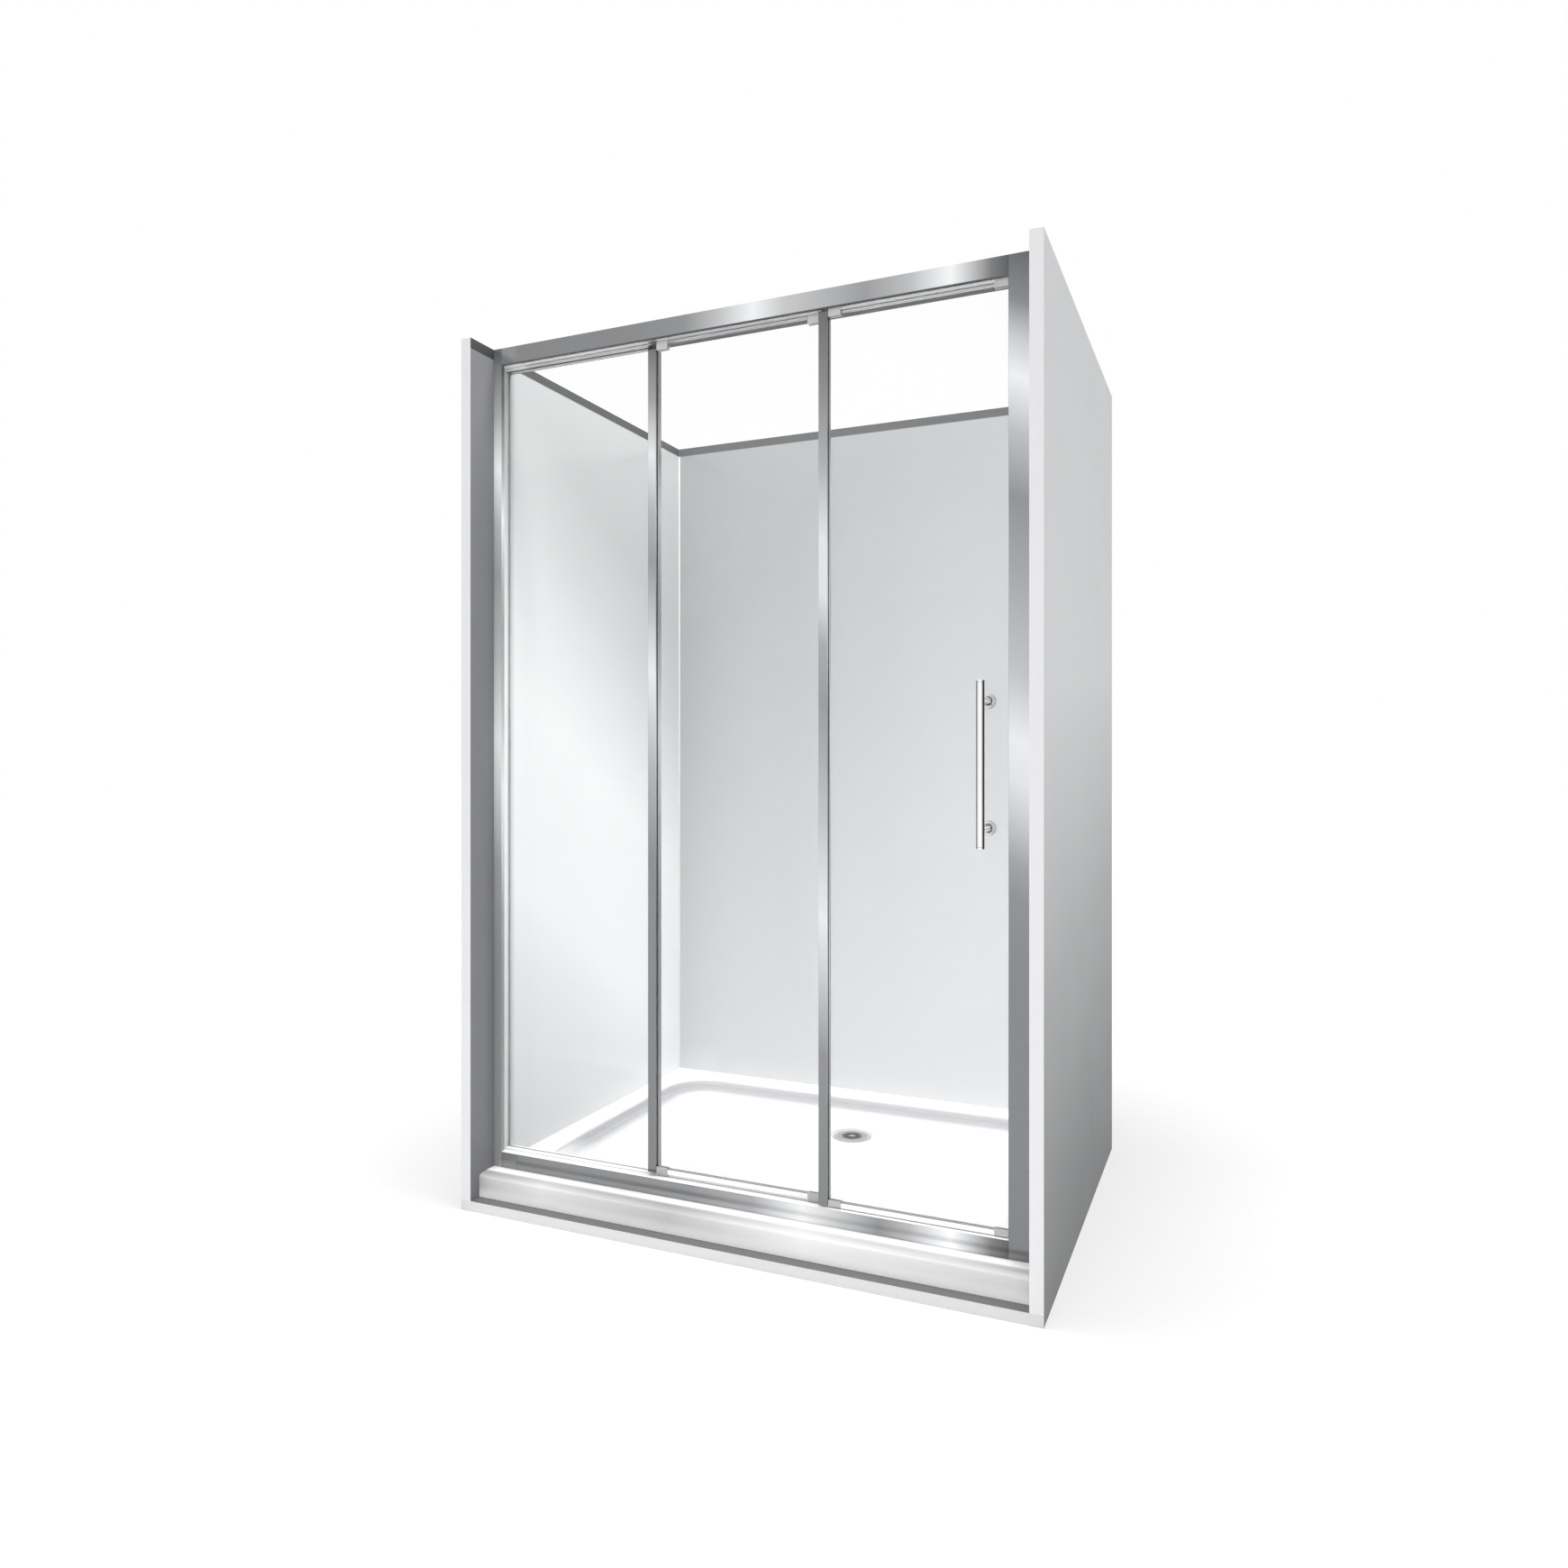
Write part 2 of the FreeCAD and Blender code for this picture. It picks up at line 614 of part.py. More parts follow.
def make_hanger(name, lane, start):
    """Clamp on the top edge of the glass, the plate up to the axle, the axle and the wheel."""
    x = (start, f"{start} + hanger_length")
    middle = f"{start} + hanger_length / 2"
    plate_low = f"{lane} - plate_front"
    plate_high = f"{plate_low} + plate"
    clamp = box(x, around(lane, "clamp_half"), ("glass_top - clamp_leg", "glass_top + cap"))
    plate = box(x, (plate_low, plate_high), ("glass_top", "wheel_z + plate_above"))
    slot = box((f"{start} - past", f"{start} + hanger_length + past"), around(lane, "glass / 2 + glass_fit"),
               ("glass_top - clamp_leg - past", "glass_top"))
    hole = rod("y", (middle, f"{plate_low} - past", "wheel_z"), "plate + 2 * past", "axle_radius + axle_fit")
    node(f"{name}_hanger_{side_of(start)}", cut(fuse(clamp, plate), slot, hole))
    wheel_low = f"{plate_high} + axle_shoulder + wheel_side_gap"
    wheel_high = f"{wheel_low} + wheel_width"
    collar_low = f"{wheel_high} + wheel_side_gap"
    axle = fuse(
        rod("y", (middle, f"{plate_low} - axle_head", "wheel_z"), "axle_head", "axle_head_radius"),
        rod("y", (middle, plate_low, "wheel_z"), f"{collar_low} - ({plate_low})", "axle_radius"),
        rod("y", (middle, plate_high, "wheel_z"), "axle_shoulder", "axle_shoulder_radius"),
        rod("y", (middle, collar_low, "wheel_z"), "axle_collar", "axle_head_radius"))
    node(f"{name}_axle_{side_of(start)}", axle)
    disc = rod("y", (middle, wheel_low, "wheel_z"), "wheel_width", "wheel_radius")
    bore = rod("y", (middle, f"{wheel_low} - past", "wheel_z"), "wheel_width + 2 * past",
               "axle_radius + axle_fit")
    well_low = f"{wheel_high} - wheel_recess"
    well = rod("y", (middle, well_low, "wheel_z"), "wheel_recess + past", "wheel_radius - tread")
    hub = rod("y", (middle, f"{well_low} - past", "wheel_z"), "wheel_recess + 2 * past", "hub_radius")
    node(f"{name}_wheel_{side_of(start)}", cut(disc, bore, cut(well, hub)))


def side_of(start):
    return "right" if "_right" in start else "left"


def make_sliding_panel(name, lane, low, high):
    """Glass, two stiles, hangers with wheels, guides and seals of one sliding panel."""
    slot_y = around(lane, "glass / 2 + glass_fit")
    stile_y = around(lane, "stile_depth / 2")
    stile_z = ("glass_bottom - cap", "glass_top + cap")
    slot_z = ("glass_bottom - cap - past", "glass_top + cap + past")
    pane = (f"{low} + stile_width - stile_bite + seal_gap", f"{high} - stile_width + stile_bite - seal_gap")
    glass = box(pane, around(lane, "glass / 2"), ("glass_bottom", "glass_top"))
    if name == "door":
        holes = [rod("y", ("handle_x", f"{lane} - glass", z), "2 * glass", "glass_hole_radius")
                 for z in handle_heights()]
        glass = cut(glass, *holes)
    node(f"{name}_glass", glass)
    left_slot = box((f"{low} + stile_width - stile_bite", f"{low} + stile_width + past"), slot_y, slot_z)
    node(f"{name}_stile_left", cut(box((low, f"{low} + stile_width"), stile_y, stile_z), left_slot))
    right_slot = box((f"{high} - stile_width - past", f"{high} - stile_width + stile_bite"), slot_y, slot_z)
    node(f"{name}_stile_right", cut(box((f"{high} - stile_width", high), stile_y, stile_z), right_slot))
    starts = (f"{low} + stile_width + seal_gap", f"{high} - stile_width - seal_gap - hanger_length")
    for start in starts:
        make_hanger(name, lane, start)
    guides = []
    for start in starts:
        x = (start, f"{start} + hanger_length")
        shoe = box(x, around(lane, "clamp_half"), ("glass_bottom - cap", "glass_bottom + clamp_leg"))
        fin = box(x, around(lane, "fin_half"), ("deck - fin_depth", "glass_bottom"))
        slot = box((f"{start} - past", f"{start} + hanger_length + past"), slot_y,
                   ("glass_bottom", "glass_bottom + clamp_leg + past"))
        guides.append(cut(fuse(shoe, fin), slot))
    node(f"{name}_guides", group(*guides))
    strip_x = (f"{starts[0]} + hanger_length + seal_gap", f"{starts[1]} - seal_gap")
    strip = box(strip_x, around(lane, "drip_half"), ("glass_bottom - cap", "glass_bottom + drip_height"))
    fin = box(strip_x, (f"{lane} + drip_fin_offset", f"{lane} + drip_fin_offset + drip_fin"),
              ("deck + seal_gap", "glass_bottom"))
    slot = box((low, high), slot_y, ("glass_bottom", "glass_bottom + drip_height + past"))
    node(f"{name}_drip_seal", cut(fuse(strip, fin), slot))
    pile = box(around(f"{low} + stile_width / 2", "pile_width / 2"),
               (f"{lane} + stile_depth / 2", f"{lane} + lane_pitch - stile_depth / 2 - seal_gap"), stile_z)
    node(f"{name}_pile_seal", pile)


def handle_heights():
    return ("handle_middle - post_spacing / 2", "handle_middle + post_spacing / 2")


def make_handle():
    bar = rod("z", ("handle_x", "bar_y", "handle_middle - bar_length / 2"), "bar_length", "bar_radius")
    node("handle_bar", rounded(bar, "bar_round", lambda edge: edge.isClosed()))
    posts, rosettes, studs, caps = [], [], [], []
    for z in handle_heights():
        post = rod("y", ("handle_x", "bar_y", z), "standoff - rosette", "post_radius")
        core = rod("z", ("handle_x", "bar_y", f"{z} - 2 * post_radius"), "4 * post_radius", "bar_radius")
        posts.append(cut(post, core))
        disc = rod("y", ("handle_x", "outer_glass - rosette", z), "rosette", "rosette_radius")
        disc = rounded(disc, "rosette_round", lambda edge: edge.isClosed() and on_side(edge, disc, 0))
        start = ("handle_x", "outer_glass - stud_in_rosette", z)
        well = rod("y", start, "stud_in_rosette + past", "stud_radius + hole_gap")
        rosettes.append(cut(disc, well))
        length = "stud_in_rosette + glass + handle_cap - handle_cap_round"
        studs.append(rod("y", start, length, "stud_radius"))
        cap = rod("y", ("handle_x", "inner_glass", z), "handle_cap", "handle_cap_radius")
        cap = rounded(cap, "handle_cap_round", lambda edge: edge.isClosed() and on_side(edge, cap, 1))
        depth = "handle_cap - handle_cap_round + past"
        well = rod("y", ("handle_x", "inner_glass - past", z), depth, "stud_radius + hole_gap")
        caps.append(cut(cap, well))
    node("handle_posts", group(*posts))
    node("handle_rosettes", group(*rosettes))
    node("handle_studs", group(*studs))
    node("handle_caps", group(*caps))


def on_side(edge, piece, share):
    """True for the edge at the near end (0) or the far end (1) of a rod along Y."""
    return abs(edge.CenterOfMass.y - piece.Placement.Base.y - share * piece.Height.Value) < 0.01


def on_top(edge, piece):
    return abs(edge.CenterOfMass.z - piece.Placement.Base.z - piece.Height.Value) < 0.01


def make_seals_and_stops():
    face = ("door_right", "door_right + magnet")
    strip = box(face, around("door_lane", "stile_depth / 2 - magnet"), ("glass_bottom", "glass_top"))
    node("door_magnet", strip)
    height = ("shelf_top", "shelf_top + stop_height")
    parked = "left + park_inset + stile_width"
    left_x = (f"{parked} - stop_length", parked)
    door_y = ("door_lane - plate_front", "door_lane + track_web_offset")
    middle_y = ("middle_lane - plate_front", "pocket_front - frame_wall")
    ahead = "middle_right - stile_width"
    stops = [box(left_x, door_y, height), box(left_x, middle_y, height),
             box((ahead, f"{ahead} + stop_length"), middle_y, height)]
    node("header_stops", group(*stops))


make_boards()
make_liners()
make_tray()
make_waste()
make_header()
make_sill()
make_jambs()
make_fixed_panel()
make_sliding_panel("middle", "middle_lane", "middle_left", "middle_right")
make_sliding_panel("door", "door_lane", "door_left", "door_right")
make_handle()
make_seals_and_stops()
doc.recompute()

for item in doc.Objects:
    if "Invalid" in item.State or "Error" in item.State:
        raise RuntimeError(f"{item.Label} did not build")
for item in nodes:
    if item.Shape.isNull() or not item.Shape.isValid():
        raise RuntimeError(f"{item.Label} has no valid shape")
for item in nodes:
    item.Shape.exportStep(f"parts/{item.Label}.step")
print(len(nodes), "nodes written")
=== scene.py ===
import json
import math

import bmesh
import bpy
import numpy as np
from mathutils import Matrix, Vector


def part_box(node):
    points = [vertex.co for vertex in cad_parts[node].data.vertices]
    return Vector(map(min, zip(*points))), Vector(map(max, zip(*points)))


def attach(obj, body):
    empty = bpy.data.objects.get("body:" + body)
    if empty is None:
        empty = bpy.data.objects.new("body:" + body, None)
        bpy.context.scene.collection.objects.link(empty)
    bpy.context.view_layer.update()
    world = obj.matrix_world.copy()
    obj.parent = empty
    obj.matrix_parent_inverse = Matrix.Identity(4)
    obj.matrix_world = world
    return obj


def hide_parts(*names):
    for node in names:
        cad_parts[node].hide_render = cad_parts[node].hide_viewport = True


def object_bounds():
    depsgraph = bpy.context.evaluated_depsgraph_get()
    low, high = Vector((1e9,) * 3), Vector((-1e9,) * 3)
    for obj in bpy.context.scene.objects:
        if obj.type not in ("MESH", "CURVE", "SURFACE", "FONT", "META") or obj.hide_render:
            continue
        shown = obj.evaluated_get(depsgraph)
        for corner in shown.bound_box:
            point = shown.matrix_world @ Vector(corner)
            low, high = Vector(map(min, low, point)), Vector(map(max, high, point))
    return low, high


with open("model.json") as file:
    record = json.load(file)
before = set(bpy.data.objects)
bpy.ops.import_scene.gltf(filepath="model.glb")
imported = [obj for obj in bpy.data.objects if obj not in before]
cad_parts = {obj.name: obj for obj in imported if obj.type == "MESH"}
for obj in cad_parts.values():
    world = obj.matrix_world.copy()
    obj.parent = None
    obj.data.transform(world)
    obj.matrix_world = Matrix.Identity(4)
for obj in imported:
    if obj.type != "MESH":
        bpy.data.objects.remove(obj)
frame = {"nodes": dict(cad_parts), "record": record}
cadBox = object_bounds()
nodes = frame["nodes"]
bodyOf = {name: body for body, names in frame["record"]["behaviour"]["bodies"].items() for name in names}
print("frame loaded:", len(nodes), "nodes")


# Shader maths: tones are written as they show on a screen, and turned into linear light here.

def grey(value, tint=(0, 0, 0)):
    shown = [min(max(value + shift, 0), 1) for shift in tint]
    return [((v + 0.055) / 1.055) ** 2.4 for v in shown] + [1]


class Wire:                                    # a socket that can stand in a sum
    def __init__(self, web, socket):
        self.web = web
        self.socket = socket

    def outs(self):
        return [Wire(self.web, socket) for socket in self.socket.node.outputs]

    def maths(self, operation, *values):
        return self.web.add("Math", {"operation": operation}, dict(enumerate(values)))

    def __add__(self, other):
        return self.maths("ADD", self, other)

    def __radd__(self, other):
        return self.maths("ADD", other, self)

    def __sub__(self, other):
        return self.maths("SUBTRACT", self, other)

    def __rsub__(self, other):
        return self.maths("SUBTRACT", other, self)

    def __mul__(self, other):
        return self.maths("MULTIPLY", self, other)

    def __rmul__(self, other):
        return self.maths("MULTIPLY", other, self)

    def __truediv__(self, other):
        return self.maths("DIVIDE", self, other)

    def __neg__(self):
        return self.maths("MULTIPLY", self, -1)

    def __abs__(self):
        return self.maths("ABSOLUTE", self)

    def root(self):
        return self.maths("SQRT", self)

    def most(self, other):
        return self.maths("MAXIMUM", self, other)

    def least(self, other):
        return self.maths("MINIMUM", self, other)


class Web:                                     # the nodes of one material or world
    def __init__(self, tree):
        self.tree = tree
        tree.nodes.clear()

    def add(self, kind, settings=None, values=None):
        made = self.tree.nodes.new("ShaderNode" + kind)
        for key, value in (settings or {}).items():
            if key == "stops":
                fillRamp(made.color_ramp, value)
            else:
                setattr(made, key, value)
        for key, value in (values or {}).items():
            if isinstance(value, Wire):
                self.tree.links.new(value.socket, made.inputs[key])
            else:
                made.inputs[key].default_value = value
        return Wire(self, made.outputs[0]) if made.outputs else None

    def place(self):                           # x, y and z in the object's own metres
        spot = self.add("TexCoord").outs()[3]
        return self.add("SeparateXYZ", None, {0: spot}).outs()

    def facing(self):                          # x, y and z of the surface normal
        normal = self.add("NewGeometry").outs()[1]
        return self.add("SeparateXYZ", None, {0: normal}).outs()

    def rise(self, value, low, high):          # 0 below low, 1 above high, smooth between
        return self.add("MapRange", {"interpolation_type": "SMOOTHSTEP"}, {0: value, 1: low, 2: high})

    def within(self, value, low, high, soft):  # 1 between low and high, 0 outside, with soft edges
        return self.rise(value, low - soft, low) * (1 - self.rise(value, high, high + soft))

    def mix(self, share, first, second):       # two colours
        return self.add("Mix", {"data_type": "RGBA"}, {0: share, 6: first, 7: second}).outs()[2]

    def bands(self, place, stops, tint=(0, 0, 0)):   # stops are (place in metres, tone)
        low, high = stops[0][0], stops[-1][0]
        marks = [((at - low) / (high - low), grey(value, tint)) for at, value in stops]
        return self.add("ValToRGB", {"stops": marks}, {0: (place - low) / (high - low)})

    def grain(self, stretch, scale, detail=3):   # noise, stretched by a factor along each axis
        spot = self.add("TexCoord").outs()[3]
        spread = self.add("Mapping", None, {0: spot, 3: stretch})
        return self.add("TexNoise", None, {"Vector": spread, "Scale": scale, "Detail": detail})

    def relief(self, height, depth, strength=1):
        return self.add("Bump", None, {"Height": height, "Distance": depth, "Strength": strength})

    def surface(self, values):
        shader = self.add("BsdfPrincipled", None, values)
        self.add("OutputMaterial", None, {"Surface": shader})


def fillRamp(ramp, stops):
    while len(ramp.elements) < len(stops):
        ramp.elements.new(1)
    for element, (at, colour) in zip(ramp.elements, stops):
        element.position = at
        element.color = colour


def newFinish(name):
    material = bpy.data.materials.new(name)
    material.use_nodes = True
    return material, Web(material.node_tree)


def dress(names, material):
    for name in names:
        for slot in nodes[name].material_slots:
            slot.material = material


# Camera, light and floor

camera = {"place": (0.9615, -2.366, 0.973), "turn": 23.5, "lens": 25.024, "sensor": 36, "shift": -0.01443}
studio = {
    "sky": 0.3,                                # light that the surroundings give, where white is 1
    "front": {"place": (-0.2, -5.0, 1.5), "aim": (0, 0, 0.9), "size": 3.0, "watts": 105},
    "top": {"place": (0, -0.25, 4.2), "aim": (0, -0.2, 0), "size": 1.5, "watts": 200},
    "side": {"place": (4.5, -0.7, 1.8), "aim": (0.6, 0, 1.0), "size": 2.0, "watts": 50},
}
floorLook = {"size": 60, "tone": 0.93, "strength": 1.15, "near": 0.62, "far": 0.97, "reach": (1.3, 3.2)}


def makeCamera():
    eye = bpy.data.cameras.new("eye")
    eye.lens, eye.sensor_width, eye.sensor_fit = camera["lens"], camera["sensor"], "HORIZONTAL"
    eye.shift_y = camera["shift"]
    stand = bpy.data.objects.new("eye", eye)
    stand.location = camera["place"]
    stand.rotation_euler = (math.radians(90), 0, math.radians(camera["turn"]))
    bpy.context.scene.collection.objects.link(stand)
    bpy.context.scene.camera = stand


def seenWhite(web):                            # 1 for rays that look at the backdrop, 0 for light
    rays = {socket.socket.name: socket for socket in web.add("LightPath").outs()}
    hidden = 1 - rays["Is Camera Ray"]
    for name in ("Is Glossy Ray", "Is Transmission Ray"):
        hidden = hidden * (1 - rays[name])
    return 1 - hidden


def makeWorld():
    world = bpy.data.worlds.new("studio")
    world.use_nodes = True
    bpy.context.scene.world = world
    web = Web(world.node_tree)
    strength = seenWhite(web) * (1 - studio["sky"]) + studio["sky"]
    sky = web.add("Background", None, {"Color": (1, 1, 1, 1), "Strength": strength})
    web.add("OutputWorld", None, {"Surface": sky})


def makeLamp(name):
    look = studio[name]
    lamp = bpy.data.lights.new(name, "AREA")
    lamp.shape, lamp.size, lamp.energy = "DISK", look["size"], look["watts"]
    stand = bpy.data.objects.new(name, lamp)
    stand.location = look["place"]
    away = np.subtract(look["place"], look["aim"])
    flat = math.hypot(away[0], away[1])
    stand.rotation_euler = (math.atan2(flat, away[2]), 0, math.atan2(away[1], away[0]) + math.pi / 2)
    stand.visible_glossy = False
    bpy.context.scene.collection.objects.link(stand)


def makeFloor():
    half = floorLook["size"] / 2
    mesh = bpy.data.meshes.new("floor")
    corners = [(-half, -half, 0), (half, -half, 0), (half, half, 0), (-half, half, 0)]
    mesh.from_pydata(corners, [], [(0, 1, 2, 3)])
    floor = bpy.data.objects.new("floor", mesh)
    bpy.context.scene.collection.objects.link(floor)
    material, web = newFinish("floor")
    x, y, z = web.place()
    far = web.rise((x * x + y * y).root(), *floorLook["reach"])
    glow = far * (floorLook["far"] - floorLook["near"]) + floorLook["near"]
    matt = web.add("BsdfDiffuse", None, {"Color": grey(floorLook["tone"])})
    white = web.add("Emission", None, {"Color": (1, 1, 1, 1), "Strength": floorLook["strength"]})
    both = web.add("MixShader", None, {0: seenWhite(web) * glow, 1: matt, 2: white})
    web.add("OutputMaterial", None, {"Surface": both})
    mesh.materials.append(material)


makeCamera()
makeWorld()
for name in ("front", "top", "side"):
    makeLamp(name)
makeFloor()
bpy.context.scene.view_settings.view_transform = "Standard"
print("camera, light and floor in place")


# Boards: dark painted inner faces, pale front edges, and painted shade: outer faces that darken towards the
# floor, a darker band above the liners, a darker top and front edge to the base

boards = {
    "inner": 0.48,
    "strip": {"back": 0.31, "side": 0.22},     # band of the boards above the liners, in painted shade: darker than the inner faces, darker still on the side walls
    "stripFrom": (1.8665, 1.8675),             # heights between which that band begins
    "edge": 0.862,                             # front edges and tops
    "topFrom": (1.88, 1.885),
    "deck": 0.39,                              # top of the base, seen in front of the tray, darkened as painted shade under the tray's front
    "deckBelow": (0.5, 1.0),
    "foot": [(-0.625, 0.83), (0.0, 0.815), (0.625, 0.81)],   # front edge of the base, in painted shade: darker than the other edges, falling a little from left to right
    "footBelow": (0.0215, 0.0225),
    # painted shade: the outer faces' tones darken towards the floor
    "outer": [(0.0, 0.44), (0.25, 0.48), (0.62, 0.61), (0.9, 0.73), (1.15, 0.82), (1.9, 0.83)],
    "lean": -0.12,                             # the outer bands fall towards the back
    "tint": {"inner": (-0.002, 0, 0.006), "outer": (0, 0.006, 0.01), "edge": (0, 0, 0.008)},
    "skin": 0.001,                             # how near to the overall box an outer face lies
    "square": (0.6, 0.8),                      # part of the normal that tells which way a face looks
    "sideSquare": (0.5, 0.7),
    "cloud": {"scale": 5, "shift": 0.05, "roughness": 0.15},
    "stipple": {"scale": 900, "depth": 0.00012, "strength": 0.5},
    "roughness": 0.5,
}


def boardFinish():
    material, web = newFinish("painted_board")
    x, y, z = web.place()
    nx, ny, nz = web.facing()
    square, skin = boards["square"], boards["skin"]
    cloud, stipple = boards["cloud"], boards["stipple"]
    tint = boards["tint"]["inner"]
    wide, deep = cadBox[1].x - skin, cadBox[1].y - skin
    front = web.rise(-ny, *square) * web.rise(-y, deep - skin, deep)
    top = web.rise(nz, *square) * web.rise(z, *boards["topFrom"])
    sides = web.rise(abs(nx), *square) * web.rise(abs(x), wide - skin, wide)
    outside = sides.most(web.rise(ny, *square) * web.rise(y, deep - skin, deep))
    patch = web.grain((1, 1, 1), cloud["scale"])
    height = z + boards["lean"] * y + (patch - 0.5) * cloud["shift"]
    # painted shade on the outer faces, darker towards the floor
    fall = web.bands(height, boards["outer"], boards["tint"]["outer"])
    # painted shade: the band above the liners is darker on the side walls than on the back
    onSide = web.rise(abs(nx), *boards["sideSquare"])
    strip = web.mix(onSide, *(grey(boards["strip"][part], tint) for part in ("back", "side")))
    # painted shade on the base's front edge
    foot = web.bands(x, boards["foot"])
    edge = web.mix(web.rise(z, *boards["footBelow"]), foot, grey(boards["edge"], boards["tint"]["edge"]))
    # painted shade: the top of the base is toned darker than the inner faces
    deck = web.rise(nz, *square) * (1 - web.rise(z, *boards["deckBelow"]))
    colour = web.mix(deck, grey(boards["inner"], tint), grey(boards["deck"], tint))
    colour = web.mix(web.rise(z, *boards["stripFrom"]), colour, strip)
    colour = web.mix(outside, colour, fall)
    colour = web.mix(front, colour, edge)
    colour = web.mix(top, colour, edge)
    dots = web.grain((1, 1, 1), stipple["scale"], 2)
    web.surface({
        "Base Color": colour,
        "Roughness": boards["roughness"] + (patch - 0.5) * cloud["roughness"],
        "Normal": web.relief(dots, stipple["depth"], stipple["strength"]),
    })
    return material


dress(["wall_left", "wall_right", "wall_back", "base_board"], boardFinish())
print("boards painted")


# Wall liners and tray: smooth white sheet and casting, their tones holding painted light and shade

liners = {
    # painted light and shade: the white sheet's tones rise and fall with height and depth, as light falls
    # on it
    "left": [(0.0, 0.8), (0.25, 0.855), (0.5, 0.925), (0.7, 0.985), (1.15, 1.0), (1.35, 0.935),
             (1.6, 0.84), (1.85, 0.77), (2.4, 0.785)],
    "back": [(0.0, 0.59), (0.2, 0.625), (0.4, 0.687), (0.6, 0.757), (0.8, 0.81), (1.0, 0.838)],
    "tint": {"left": (-0.004, 0.002, 0.004), "back": (0, 0.001, 0.008)},
    "leanLeft": 0.65,                          # how fast the bands fall from front to back
    "leanFrom": -0.33,                         # place from front to back at which they have their heights
    "span": {"left": -0.6, "width": 1.2, "top": 1.87, "height": 1.8},
    "shareAcross": 0.35,                       # how much of the back's change runs across it
    "ripple": {"scale": 3, "roughness": 0.06, "depth": 0.0008, "strength": 0.15},
    "roughness": 0.16,
}


def linerFinish(name):
    material, web = newFinish(f"liner_{name}")
    x, y, z = web.place()
    span, ripple = liners["span"], liners["ripple"]
    if name == "back":
        across = (x - span["left"]) / span["width"]
        down = (span["top"] - z) / span["height"]
        spot = across * liners["shareAcross"] + down * (1 - liners["shareAcross"])
    else:
        spot = z + (y - liners["leanFrom"]) * liners["leanLeft"]
    waves = web.grain((1, 1, 1), ripple["scale"], 1)
    # painted light and shade on the liner
    web.surface({
        "Base Color": web.bands(spot, liners[name], liners["tint"][name]),
        "Roughness": liners["roughness"] + (waves - 0.5) * ripple["roughness"],
        "Normal": web.relief(waves, ripple["depth"], ripple["strength"]),
    })
    return material


dress(["liner_left", "liner_right"], linerFinish("left"))
dress(["liner_back"], linerFinish("back"))

tray = {
    # painted shade: the basin's floor is toned darker than the rim, to offset the stronger light that falls
    # on it
    "white": 0.84,
    "rim": 0.95,
    "rimDepth": (0.024, 0.016),                # depths below the rim between which the floor's tone ends
    # painted light and shade: bands of lighter and darker tone across the tray's front
    "front": [(-0.6, 0.715), (-0.437, 0.85), (-0.3, 0.79), (-0.13, 0.72), (0.165, 0.905), (0.35, 0.86),
              (0.6, 0.8)],
    "frontReach": (0.012, 0.009),              # how far back from the front its tones go
    "frontSquare": (0.6, 0.9),
    "shelf": {"reach": (0.03, 0.02), "darker": 0.08, "square": (0.2, 0.4)},   # front part of the rim, in painted shade: the front's bands made darker
    "foot": {"heights": (0.022, 0.05), "share": 0.75},   # painted light: the front gets lighter towards its foot, offsetting the shade near the base
    "basin": {"middle": (0, 0.0341), "half": (0.5435, 0.3593), "corner": 0.11},
    "wall": 0.81,                              # tone of the soft shade on the basin's walls
    "cove": 0.65,                              # the same at the foot of the walls, where more light falls
    "coveTint": (0, 0, 0.01),
    "coveEdge": (-0.008, 0.002),               # how far in from the wall the shade begins
    "coveReach": (0.012, 0.06),                # how far in the shade stays full, and where it ends
    "coveFoot": (0.052, 0.062),                # heights between which floor shade turns to wall shade
    "coveFront": (0.1, 0.25),                  # towards the front the shade fades away
    # painted shade in the recess ring around the waste
    "recess": 0.62,
    "recessRadius": (0.048, 0.0485),
    "ripple": {"scale": 6, "roughness": 0.05},
    "skin": {"scale": 500, "depth": 0.00005, "strength": 0.3},
    "roughness": 0.14,
}


def fromWall(web, x, y, basin):
    # how far in from the wall a point lies: the corners' radius, less the distance out from the box
    # between the corners' centres, plus the depth inside that box
    cornered = [abs(at - middle) - (half - basin["corner"])
                for at, middle, half in zip((x, y), basin["middle"], basin["half"])]
    out = [at.most(0) for at in cornered]
    straight = cornered[0].most(cornered[1]).least(0)
    return basin["corner"] - (out[0] * out[0] + out[1] * out[1]).root() - straight


